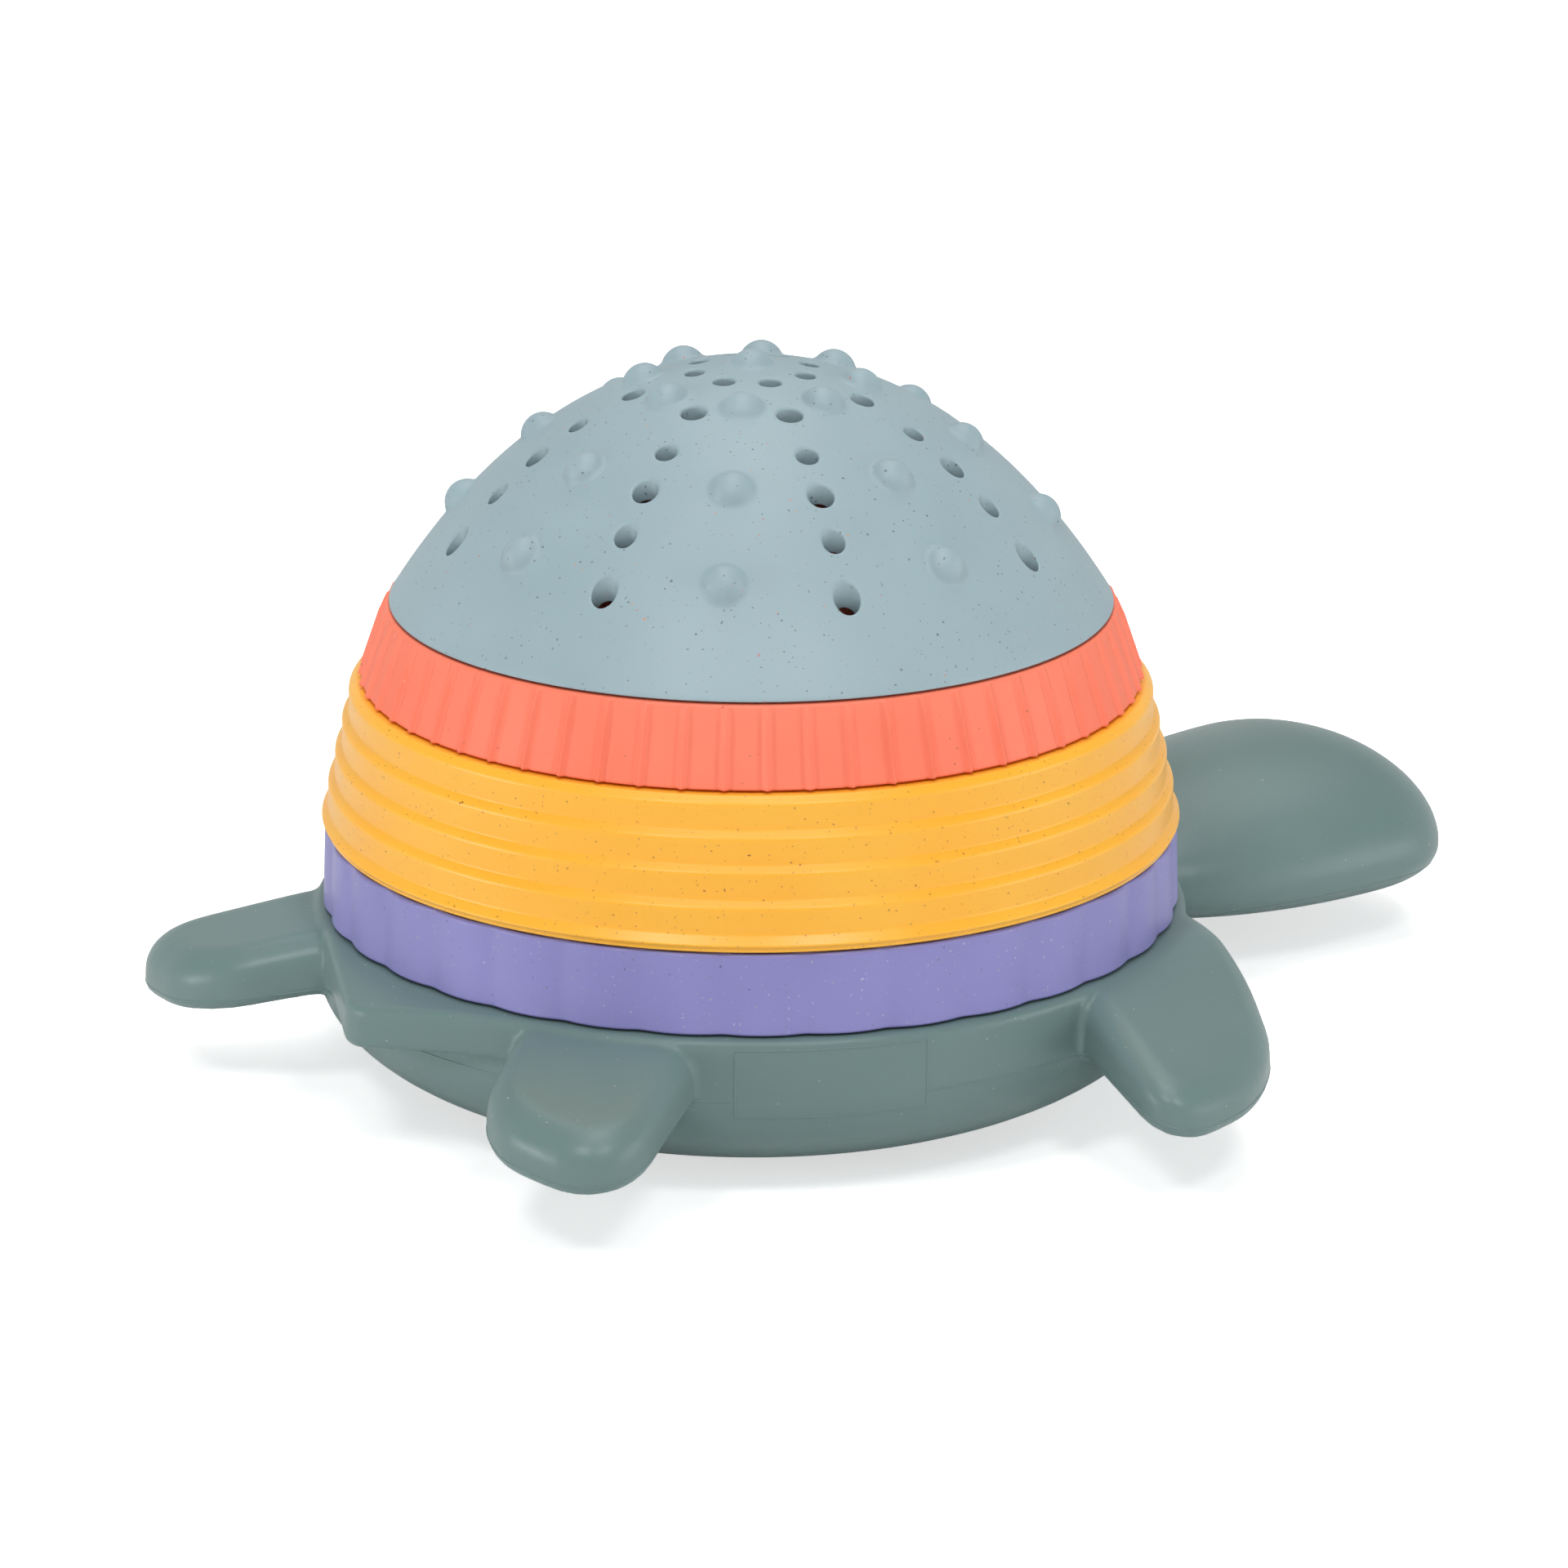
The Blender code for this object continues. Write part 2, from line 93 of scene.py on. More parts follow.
# Scatters flecks of two tones over a colour, and returns the new colour's socket
def addFlecks(tree, coords, fleck, colour):
    # ragged outline: noise shakes the cells' coordinates by up to about half a fleck's size
    shake = addNode(tree, "ShaderNodeTexNoise",
                    {"Scale": perMetre(fleck["size"] * skin["raggedSize"]), "Detail": 1},
                    [("Vector", coords, "Object")])
    shaken = addNode(tree, "ShaderNodeVectorMath", {"operation": "MULTIPLY_ADD"},
                     [(0, shake, "Color"), (2, coords, "Object")])
    shaken.inputs[1].default_value = (fleck["size"] * toMetres,) * 3
    cells = addNode(tree, "ShaderNodeTexVoronoi", {"Scale": perMetre(fleck["spacing"])},
                    [("Vector", shaken, "Vector")])
    # a cell's random colour says whether it has a fleck, how large, how strong and of which tone
    pick = addNode(tree, "ShaderNodeSeparateColor", {}, [("Color", cells, "Color")])
    reach = fleck["size"] / fleck["spacing"]
    radius = addNode(tree, "ShaderNodeMapRange",
                     {"From Min": 1 - fleck["share"], "From Max": 1,
                      "To Min": reach * skin["smallRadius"], "To Max": reach * skin["largeRadius"]},
                     [("Value", pick, "Red")])
    chosen = addNode(tree, "ShaderNodeMath", {"operation": "GREATER_THAN"}, [(0, pick, "Red")])
    chosen.inputs[1].default_value = 1 - fleck["share"]
    inside = addNode(tree, "ShaderNodeMath", {"operation": "SUBTRACT"},
                     [(0, radius, "Result"), (1, cells, "Distance")])
    edge = addNode(tree, "ShaderNodeMapRange", {"From Min": 0, "From Max": reach * skin["softEdge"]},
                   [("Value", inside, "Value")])
    shown = addNode(tree, "ShaderNodeMath", {"operation": "MULTIPLY"},
                    [(0, edge, "Result"), (1, chosen, "Value")])
    depth = addNode(tree, "ShaderNodeMath", {"operation": "MULTIPLY"},
                    [(0, shown, "Value"), (1, pick, "Green")])
    tone = addNode(tree, "ShaderNodeValToRGB", {}, [("Fac", pick, "Blue")])
    tone.color_ramp.interpolation = "CONSTANT"
    tone.color_ramp.elements[1].position = 0.5     # both tones are equally common
    for stop, code in zip(tone.color_ramp.elements, fleck["tones"]):
        stop.color = linearColour(code)
    # the colours A, B and Result of this node have the numbers 6, 7 and 2
    mix = addNode(tree, "ShaderNodeMix", {"data_type": "RGBA"},
                  [("Factor", depth, "Value"), (7, tone, "Color")])
    tree.links.new(colour, mix.inputs[6])
    return mix.outputs[2]


# Body colour that drifts slowly between two near tones, with the flecks in it
def fleckedColour(tree, coords, look):
    drift = addNode(tree, "ShaderNodeTexNoise", {"Scale": perMetre(skin["driftSize"]), "Detail": 2},
                    [("Vector", coords, "Object")])
    body = addNode(tree, "ShaderNodeValToRGB", {}, [("Fac", drift, "Fac")])
    tones = (look["deep"], look["body"])
    for stop, position, code in zip(body.color_ramp.elements, skin["driftEnds"], tones):
        stop.position = position
        stop.color = linearColour(code)
    colour = body.outputs["Color"]
    for fleck in look["flecks"]:
        colour = addFlecks(tree, coords, fleck, colour)
    return colour


# Roughness that wanders by a few hundredths, and the mould's grain as a slight bump
def wornSurface(tree, coords, look):
    shader = tree.nodes["Principled BSDF"]
    polish = addNode(tree, "ShaderNodeTexNoise", {"Scale": perMetre(skin["polishSize"]), "Detail": 3},
                     [("Vector", coords, "Object")])
    rough = addNode(tree, "ShaderNodeMapRange", {"To Min": look["roughness"] - skin["polishSwing"],
                                                 "To Max": look["roughness"] + skin["polishSwing"]},
                    [("Value", polish, "Fac")])
    tree.links.new(rough.outputs["Result"], shader.inputs["Roughness"])
    grain = addNode(tree, "ShaderNodeTexNoise", {"Scale": perMetre(look["grain"]), "Detail": 2},
                    [("Vector", coords, "Object")])
    relief = addNode(tree, "ShaderNodeBump",
                     {"Strength": look["relief"], "Distance": skin["grainDepth"] * toMetres},
                     [("Height", grain, "Fac")])
    tree.links.new(relief.outputs["Normal"], shader.inputs["Normal"])


def mouldedFinish(name, look):
    material = bpy.data.materials.new(name)
    material.use_nodes = True
    tree = material.node_tree
    shader = tree.nodes["Principled BSDF"]
    shader.inputs["IOR"].default_value = look["ior"]
    shader.inputs["Sheen Weight"].default_value = look["sheen"]
    coords = addNode(tree, "ShaderNodeTexCoord", {})
    tree.links.new(fleckedColour(tree, coords, look), shader.inputs["Base Color"])
    wornSurface(tree, coords, look)
    return material


# Polypropylene filled with plant fibre, injection moulded to a satin face: an even body colour
# with brown, dark and pale flecks where fibres lie at the surface. The mould's spark-eroded grain
# is under 0.1 mm and is drawn at 0.5 mm so that it shows.
def fibrePlastic(tone, look):
    look.update({"ior": 1.49, "sheen": 0, "grain": 0.5, "relief": 0.06})
    return mouldedFinish("fibre_filled_polypropylene_" + tone, look)


# Silicone rubber, pressed in a matt mould: a soft, broad sheen and white dust that clings to it.
# The mould's grain is drawn at 0.6 mm, coarser than it is, so that it shows.
def siliconeRubber(tone, look):
    look.update({"ior": 1.41, "sheen": 0.05, "grain": 0.6, "relief": 0.08})
    return mouldedFinish("silicone_rubber_" + tone, look)


# Line of corners (radius, height, rounding) in the XZ plane, each corner rounded by a bevel
def profileLine(corners, segments):
    shape = bmesh.new()
    line = [shape.verts.new((radius, 0, height)) for radius, height, rounding in corners]
    for before, after in zip(line, line[1:]):
        shape.edges.new((before, after))
    for corner, (radius, height, rounding) in zip(line, corners):
        if rounding:
            bmesh.ops.bevel(shape, geom=[corner], offset=rounding, offset_type="OFFSET",
                            segments=segments, profile=0.5, affect="VERTICES", material=-1)
    return shape


def closeSeams(shape):
    bmesh.ops.remove_doubles(shape, verts=shape.verts, dist=weldDistance)
    bmesh.ops.recalc_face_normals(shape, faces=shape.faces)


def turnBy(shape, angle):
    bmesh.ops.rotate(shape, verts=shape.verts, cent=(0, 0, 0), matrix=Matrix.Rotation(angle, 3, "Z"))


# Turns a profile into one sector, lets reshape() work on that sector, and repeats it all the way round
def spinRound(shape, sectors, steps, reshape=None):
    wedge = 2 * pi / sectors
    turnBy(shape, -wedge / 2)
    bmesh.ops.spin(shape, geom=shape.verts[:] + shape.edges[:], cent=(0, 0, 0), axis=(0, 0, 1),
                   angle=wedge, steps=steps)
    closeSeams(shape)
    if reshape:
        reshape(shape)
    bmesh.ops.spin(shape, geom=shape.verts[:] + shape.edges[:] + shape.faces[:], cent=(0, 0, 0),
                   axis=(0, 0, 1), angle=2 * pi - wedge, steps=sectors - 1, use_duplicate=True)
    closeSeams(shape)


# Closed top and neck of a ring, from the middle out to its shoulder
def neckCorners(ring):
    return [(0, ring["top"], 0), (ring["neckTop"], ring["top"], stack["neckRounding"]),
            (ring["neckFoot"], ring["shoulder"], stack["creaseRounding"])]


# Inside of a ring, from its rim up and back to the middle
def insideCorners(ring):
    ceiling = ring["shoulder"] - stack["topThickness"]
    neckCeiling = ring["top"] - stack["topThickness"]
    return [(ring["inside"], ring["rim"], stack["rimRounding"]),
            (ring["insideShoulder"], ceiling, stack["ceilingRounding"]),
            (ring["neckInside"], ceiling, stack["neckInsideRounding"]),
            (ring["neckInside"], neckCeiling, stack["ceilingRounding"]), (0, neckCeiling, 0)]


def finishPiece(shape, node, finish):
    bmesh.ops.scale(shape, vec=(toMetres, toMetres, toMetres), verts=shape.verts)
    mesh = bpy.data.meshes.new(node + "_moulding")
    shape.to_mesh(mesh)
    shape.free()
    mesh.shade_smooth()
    mesh.materials.append(finish)
    piece = bpy.data.objects.new(node + "_moulding", mesh)
    bpy.context.scene.collection.objects.link(piece)
    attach(piece, node)
    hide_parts(node)
    print(node, len(mesh.loop_triangles), "triangles")
    return piece


# Keeps flat and turned faces free of shading from the small roundings beside them
def flatFaces(piece):
    steady = piece.modifiers.new("FlatFaces", "WEIGHTED_NORMAL")
    steady.keep_sharp = True


# Camera, fitted to the rims of the layers: degrees, millimetres, and the pixel that aim falls on

view = {
    "heading": 38.8, "elevation": 17.975, "roll": 0.246, "lens": 139.0, "sensor": 36, "distance": 812.0,
    "aim": (0, 0, 23.5), "aimAt": (919.2, 1088.2), "frame": 1920, "nearest": 50,
}


def placeCamera():
    camera = bpy.data.objects.new("camera", bpy.data.cameras.new("camera"))
    bpy.context.scene.collection.objects.link(camera)
    camera.data.sensor_width = view["sensor"]
    camera.data.lens = view["lens"]
    camera.data.clip_start = view["nearest"] * toMetres
    pixel = view["sensor"] / view["frame"] / view["lens"]
    turn = Matrix.Rotation(radians(-view["heading"]), 4, "Z")
    turn = turn @ Matrix.Rotation(radians(90 - view["elevation"]), 4, "X")
    turn = turn @ Matrix.Rotation(radians(view["roll"]), 4, "Z")
    across = (view["aimAt"][0] - view["frame"] / 2) * pixel
    up = (view["frame"] / 2 - view["aimAt"][1]) * pixel
    toAim = turn.to_3x3() @ Vector((across, up, -1)) * view["distance"]
    camera.matrix_world = Matrix.Translation((Vector(view["aim"]) - toAim) * toMetres) @ turn
    bpy.context.scene.camera = camera


placeCamera()
print("camera placed")


# Banded ring: upright bands set out by short flares, over a thin lip

bandedRing = {
    "rim": stack["lobedShoulder"] + stack["seatGap"], "shoulder": stack["bandedShoulder"],
    "top": stack["bandedShoulder"] + stack["neckHeight"],
    "shoulderRadius": 52.3, "step": 0.98, "pitch": 4.25, "flare": 0.9, "bands": 5,
    "lipRadius": 56.75, "lipTop": 34.95, "lastEdge": 35.45,
    "inside": 54.02, "insideShoulder": 49.12, "neckFoot": 48.9, "neckTop": 47.34, "neckInside": 45.14,
    "edgeRounding": 0.2, "flareRounding": 0.35, "lipRounding": 0.12, "cornerSteps": 4,
    "sectors": 8, "steps": 36,
}
bandedFinish = fibrePlastic("yellow", {
    "body": "#febd3e", "deep": "#feb837", "roughness": 0.34,
    "flecks": [
        {"size": 0.36, "spacing": 0.62, "share": 0.50, "tones": ("#b0642a", "#c88844")},
        {"size": 0.42, "spacing": 1.4, "share": 0.30, "tones": ("#86441c", "#985426")},
    ],
})


def makeBandedRing(ring):
    corners = neckCorners(ring)
    for k in range(ring["bands"]):
        radius = ring["shoulderRadius"] + k * ring["step"]
        level = ring["shoulder"] - k * ring["pitch"]
        foot, rounding = level - ring["flare"], ring["flareRounding"]
        if k == ring["bands"] - 1:     # the last band flares all the way down to the lip
            foot, rounding = ring["lastEdge"], ring["edgeRounding"]
        corners += [(radius, level, ring["edgeRounding"]), (radius + ring["step"], foot, rounding)]
    corners += [(ring["lipRadius"], ring["lipTop"], ring["lipRounding"]),
                (ring["lipRadius"], ring["rim"], ring["edgeRounding"])]
    shape = profileLine(corners + insideCorners(ring), ring["cornerSteps"])
    spinRound(shape, ring["sectors"], ring["steps"])
    flatFaces(finishPiece(shape, "banded_ring", bandedFinish))


makeBandedRing(bandedRing)


# Lobed ring: a skirt of shallow convex lobes that meet in soft cusps

lobedRing = {
    "rim": stack["deck"] + stack["seatGap"], "shoulder": stack["lobedShoulder"],
    "top": stack["lobedShoulder"] + stack["neckHeight"],
    "rimRadius": 57.2, "shoulderRadius": 56.8,
    "lobes": 34, "lobeDepth": 0.6, "lobeFade": 1.0, "cusp": 0.86, "turn": 0.36,
    "inside": 54.4, "insideShoulder": 54.0, "neckFoot": 53.42, "neckTop": 52.27, "neckInside": 50.07,
    "shoulderRounding": 0.5, "footRounding": 0.4, "cornerSteps": 4,
    "steps": 20,           # of each lobe
}
lobedFinish = fibrePlastic("lilac", {
    "body": "#8d8ac7", "deep": "#8986c3", "roughness": 0.38,
    "flecks": [
        {"size": 0.38, "spacing": 0.68, "share": 0.50, "tones": ("#b9b2d0", "#aba0b6")},
        {"size": 0.38, "spacing": 0.90, "share": 0.40, "tones": ("#5f5788", "#84707e")},
    ],
})


def makeLobedRing(ring):
    corners = neckCorners(ring) + [(ring["shoulderRadius"], ring["shoulder"], ring["shoulderRounding"]),
                                   (ring["rimRadius"], ring["rim"], ring["footRounding"])]
    skirt = (ring["neckFoot"] + ring["shoulderRadius"]) / 2
    knee = ring["cusp"]

    def swell(sector):
        for v in sector.verts:
            radius = hypot(v.co.x, v.co.y)
            if radius < skirt:
                continue
            across = abs(atan2(v.co.y, v.co.x)) * ring["lobes"] / pi
            dip = across ** 2
            if across > knee:      # two lobes meet in a small hollow, not in a knife cut
                dip = knee ** 2 + 2 * knee * (across - knee) - knee * (across - knee) ** 2 / (1 - knee)
            fade = min(1, (radius - skirt) / ring["lobeFade"])
            share = 1 - ring["lobeDepth"] * dip * fade / radius
            bmesh.ops.scale(sector, verts=[v], vec=(share, share, 1))

    shape = profileLine(corners + insideCorners(ring), ring["cornerSteps"])
    spinRound(shape, ring["lobes"], ring["steps"], swell)
    turnBy(shape, radians(ring["turn"]))
    flatFaces(finishPiece(shape, "lobed_ring", lobedFinish))


makeLobedRing(lobedRing)


# Ribbed ring: a conical wall of flat panels between soft upright ribs

ribbedRing = {
    "rim": stack["bandedShoulder"] + stack["seatGap"], "shoulder": stack["ribbedShoulder"],
    "top": stack["ribbedShoulder"] + stack["neckHeight"],
    "rimRadius": 51.7, "shoulderRadius": 48.2, "ribs": 60, "turn": -0.2,
    "ribHalfWidth": 0.58, "ribHeight": 0.45, "ribFade": 2.2,
    "grooveAt": 0.78, "grooveHalfWidth": 0.3, "grooveDepth": 0.22,
    "inside": 49.5, "insideShoulder": 46.0, "neckFoot": 44.7, "neckTop": 41.64, "neckInside": 39.44,
    "shoulderRounding": 0.4, "footRounding": 0.45, "cornerSteps": 3,
    # how far ribs and panels reach in over the wall's edges, and how closely steps crowd at a rib
    "edgeDepth": 0.6, "edgeFade": 0.5, "crowding": 1.5, "wallCuts": 3,
    "steps": 22,           # of each rib and the panels beside it
}
ribbedFinish = fibrePlastic("coral", {
    "body": "#fd8467", "deep": "#fc7e60", "roughness": 0.55,
    "flecks": [
        {"size": 0.40, "spacing": 1.3, "share": 0.40, "tones": ("#c9624c", "#d9775f")},
        {"size": 0.40, "spacing": 1.8, "share": 0.40, "tones": ("#ffb29c", "#b05a48")},
    ],
})


def softStep(share):
    t = min(1, max(0, share))
    return t * t * (3 - 2 * t)


def makeRibbedRing(ring):
    corners = neckCorners(ring) + [(ring["shoulderRadius"], ring["shoulder"], ring["shoulderRounding"]),
                                   (ring["rimRadius"], ring["rim"], ring["footRounding"])]
    shape = profileLine(corners + insideCorners(ring), ring["cornerSteps"])
    outer = [e for e in shape.edges if min(v.co.x for v in e.verts) > ring["insideShoulder"]]
    wall = max(outer, key=lambda e: e.calc_length())
    bmesh.ops.subdivide_edges(shape, edges=[wall], cuts=ring["wallCuts"])
    half = pi / ring["ribs"]

    def raiseRib(sector):
        for v in sector.verts:
            radius = hypot(v.co.x, v.co.y)
            up = (v.co.z - ring["rim"]) / (ring["shoulder"] - ring["rim"])
            wallRadius = ring["rimRadius"] + (ring["shoulderRadius"] - ring["rimRadius"]) * up
            if radius < wallRadius - ring["edgeDepth"]:
                continue
            turn = atan2(v.co.y, v.co.x)
            offRib = half * (abs(turn) / half) ** ring["crowding"]
            bmesh.ops.rotate(sector, verts=[v], cent=(0, 0, 0),
                             matrix=Matrix.Rotation(copysign(offRib, turn) - turn, 3, "Z"))
            flat = cos(half) / cos(half - offRib)
            off = offRib * radius
            groove = softStep(1 - abs(off - ring["grooveAt"]) / ring["grooveHalfWidth"])
            rib = softStep(1 - off / ring["ribHalfWidth"])
            fade = sqrt(min(1, max(0, (ring["shoulder"] - v.co.z) / ring["ribFade"])))
            bulge = fade * (ring["ribHeight"] * rib - ring["grooveDepth"] * groove)
            edge = min(1, (radius - wallRadius + ring["edgeDepth"]) / ring["edgeFade"])
            share = 1 + edge * (flat - 1 + bulge / radius)
            bmesh.ops.scale(sector, verts=[v], vec=(share, share, 1))

    spinRound(shape, ring["ribs"], ring["steps"], raiseRib)
    turnBy(shape, radians(ring["turn"]))
    flatFaces(finishPiece(shape, "ribbed_ring", ribbedFinish))


makeRibbedRing(ribbedRing)


# Sieve dome: a thin cap with rows of half-round bumps and rows of vertical oval holes

sieveDome = {
    "rim": stack["ribbedShoulder"] + stack["seatGap"], "height": 31.6, "radius": 47.9,
    "insideHeight": 29.2, "inside": 44.9, "fullness": 0.2,
    "columns": 8, "turn": 1.5, "rings": 92, "insideRings": 64, "steps": 44, "cornerSteps": 3,
    # a row of holes: share of the radius, width across and along; large and small holes take turns
    "holes": ((0.163, 2.9, 2.45), (0.336, 3.4, 2.87), (0.491, 2.9, 2.45),
              (0.608, 3.4, 2.87), (0.719, 2.9, 2.45), (0.834, 3.4, 2.87)),
    # a hole's mouth: its rounding, that rounding's loops in degrees, a loop round it in roundings
    "mouth": 0.4, "mouthLoops": (0, 22, 45, 68, 90), "mouthRoom": 1.6,
    # a row of bumps in shares of the radius; a bump's ball, rise and fillet, and its loops up to an angle
    "bumpRows": (0.300, 0.586, 0.803), "bumpBall": 3.1, "bumpHeight": 1.9, "bumpFillet": 1.0,
    "filletLoops": 4, "ballLoops": 9, "ballEnd": 88,
    "holeRoom": 1.0, "bumpRoom": 0.6,     # cleared round each hole and bump
}
domeFinish = fibrePlastic("pale_blue", {
    "body": "#9cb2b9", "deep": "#98aeb5", "roughness": 0.46,
    "flecks": [
        {"size": 0.42, "spacing": 0.75, "share": 0.50, "tones": ("#6f8084", "#5d6a70")},
        {"size": 0.50, "spacing": 1.4, "share": 0.30, "tones": ("#c9937a", "#bd8585")},
    ],
})


def domeLevel(dome, share, height):
    full = dome["fullness"]
    return dome["rim"] + height * (1 - (1 - full) * share ** 2 - full * share ** 4)


# Place on the outside of the dome, with its directions along the slope, across it and outward
def domeSpot(dome, place, around):
    share, full = place / dome["radius"], dome["fullness"]
    slope = dome["height"] / dome["radius"] * (2 * (1 - full) * share + 4 * full * share ** 3)
    outward = Vector((cos(around), sin(around), 0))
    normal = (outward * slope + Vector((0, 0, 1))).normalized()
    across = Vector((-sin(around), cos(around), 0))
    middle = outward * place + Vector((0, 0, domeLevel(dome, share, dome["height"])))
    return {"middle": middle, "along": across.cross(normal), "across": across, "normal": normal}


# Clears a window at each spot and fills it with loops, each laid out by a function of the angle
# round the spot. The angles are evened out first, so that no two corners swap places.
def fillWithLoops(shape, window, spots, loops, evenings=4):
    patches = bmesh.ops.dissolve_faces(shape, faces=window)["region"]
    corners = []
    for patch in patches:
        c = patch.calc_center_median()
        spot = min(spots, key=lambda s: (s["middle"] - c).length)
        away = [v.co - spot["middle"] for v in patch.verts]
        angles = [atan2(p.dot(spot["across"]), p.dot(spot["along"])) for p in away]
        for k in range(evenings):
            angles = [a + ((before - a + pi) % (2 * pi) + (after - a + pi) % (2 * pi) - 2 * pi) / 4
                      for before, a, after in zip(angles[-1:] + angles, angles, angles[1:] + angles[:1])]
        corners.append((patch, spot, angles))
    for layOut in loops:
        bmesh.ops.inset_individual(shape, faces=patches, thickness=0)
        for patch, spot, angles in corners:
            for v, a in zip(patch.verts, angles):
                v.co = layOut(spot, a)
    return patches


# Opens one oval hole through a wall of the sector, with a rounded mouth, and returns its inner loop
def openHole(sector, dome, hole, outer):
    radius, height = (dome["radius"], dome["height"]) if outer else (dome["inside"], dome["insideHeight"])
    place, across, along = hole[0] * dome["radius"], hole[1] / 2, hole[2] / 2

    def inWindow(face):
        c = face.calc_center_median()
        isNear = abs(hypot(c.x, c.y) - place) < along + dome["holeRoom"]
        isBeside = abs(atan2(c.y, c.x)) * place < across + dome["holeRoom"]
        return (face.normal.z > 0) == outer and isNear and isBeside

    def oval(extra, sunk):
        def layOut(spot, a):
            wide, deep = along + extra, across + extra
            reach = wide * deep / hypot(deep * cos(a), wide * sin(a))
            x, y = place + reach * cos(a), reach * sin(a)
            level = domeLevel(dome, hypot(x, y) / radius, height)
            return x, y, level - sunk if outer else level + sunk
        return layOut

    mouth = dome["mouth"]
    loops = [oval(mouth * dome["mouthRoom"], 0)]
    for a in map(radians, dome["mouthLoops"]):
        loops.append(oval(mouth * (1 - sin(a)), mouth * (1 - cos(a))))
    upright = {"middle": Vector((place, 0, 0)), "along": Vector((1, 0, 0)), "across": Vector((0, 1, 0))}
    patch = fillWithLoops(sector, [f for f in sector.faces if inWindow(f)], [upright], loops)[0]
    rim = list(patch.edges)
    bmesh.ops.delete(sector, geom=[patch], context="FACES_ONLY")
    return rim


# Raises half-round bumps, each part of a ball with a small fillet at its foot
def raiseBumps(shape, dome):
    def loopAt(reach, rise):
        def layOut(spot, a):
            p = spot["middle"] + (spot["along"] * cos(a) + spot["across"] * sin(a)) * reach
            p.z = domeLevel(dome, p.xy.length / dome["radius"], dome["height"])
            return p + spot["normal"] * rise
        return layOut

    ball, fillet = dome["bumpBall"], dome["bumpFillet"]
    sunk = ball - dome["bumpHeight"]
    foot = sqrt((ball + fillet) ** 2 - (sunk + fillet) ** 2)
    start = degrees(atan2(sunk + fillet, foot))
    loops = []
    for k in range(dome["filletLoops"] + 1):     # from the fillet's lowest point to where it meets the ball
        a = radians(270 - (90 - start) * k / dome["filletLoops"])
        loops.append(loopAt(foot + fillet * cos(a), fillet + fillet * sin(a)))
    for k in range(1, dome["ballLoops"] + 1):
        a = radians(start + (dome["ballEnd"] - start) * k / dome["ballLoops"])
        loops.append(loopAt(ball * cos(a), ball * sin(a) - sunk))

    wedge = 2 * pi / dome["columns"]
    columns = [[domeSpot(dome, row * dome["radius"], (k + 0.5) * wedge) for row in dome["bumpRows"]]
               for k in range(dome["columns"])]
    peak = domeSpot(dome, 0, 0)
    window = []
    for face in shape.faces:
        c = face.calc_center_median()
        near = columns[int(atan2(c.y, c.x) / wedge + dome["columns"]) % dome["columns"]] + [peak]
        if face.normal.z > 0 and min((s["middle"] - c).length for s in near) < foot + dome["bumpRoom"]:
            window.append(face)
    fillWithLoops(shape, window, sum(columns, [peak]), loops)


def makeSieveDome(dome):
    corners = []
    for radius, height, count, rings in (
            (dome["radius"], dome["height"], dome["rings"], range(dome["rings"] + 1)),
            (dome["inside"], dome["insideHeight"], dome["insideRings"], range(dome["insideRings"], -1, -1))):
        for k in rings:
            rounding = stack["rimRounding"] if k == count else 0
            corners.append((radius * k / count, domeLevel(dome, k / count, height), rounding))

    def pierce(sector):
        for hole in dome["holes"]:
            loops = openHole(sector, dome, hole, True) + openHole(sector, dome, hole, False)
            bmesh.ops.bridge_loops(sector, edges=loops)

    shape = profileLine(corners, dome["cornerSteps"])
    spinRound(shape, dome["columns"], dome["steps"], pierce)
    raiseBumps(shape, dome)
    turnBy(shape, radians(dome["turn"] + 180 / dome["columns"]))
    finishPiece(shape, "sieve_dome", domeFinish)


makeSieveDome(sieveDome)


# Turtle base: hull with its dish, egg-shaped head, four flippers and a short tail in one soft moulding

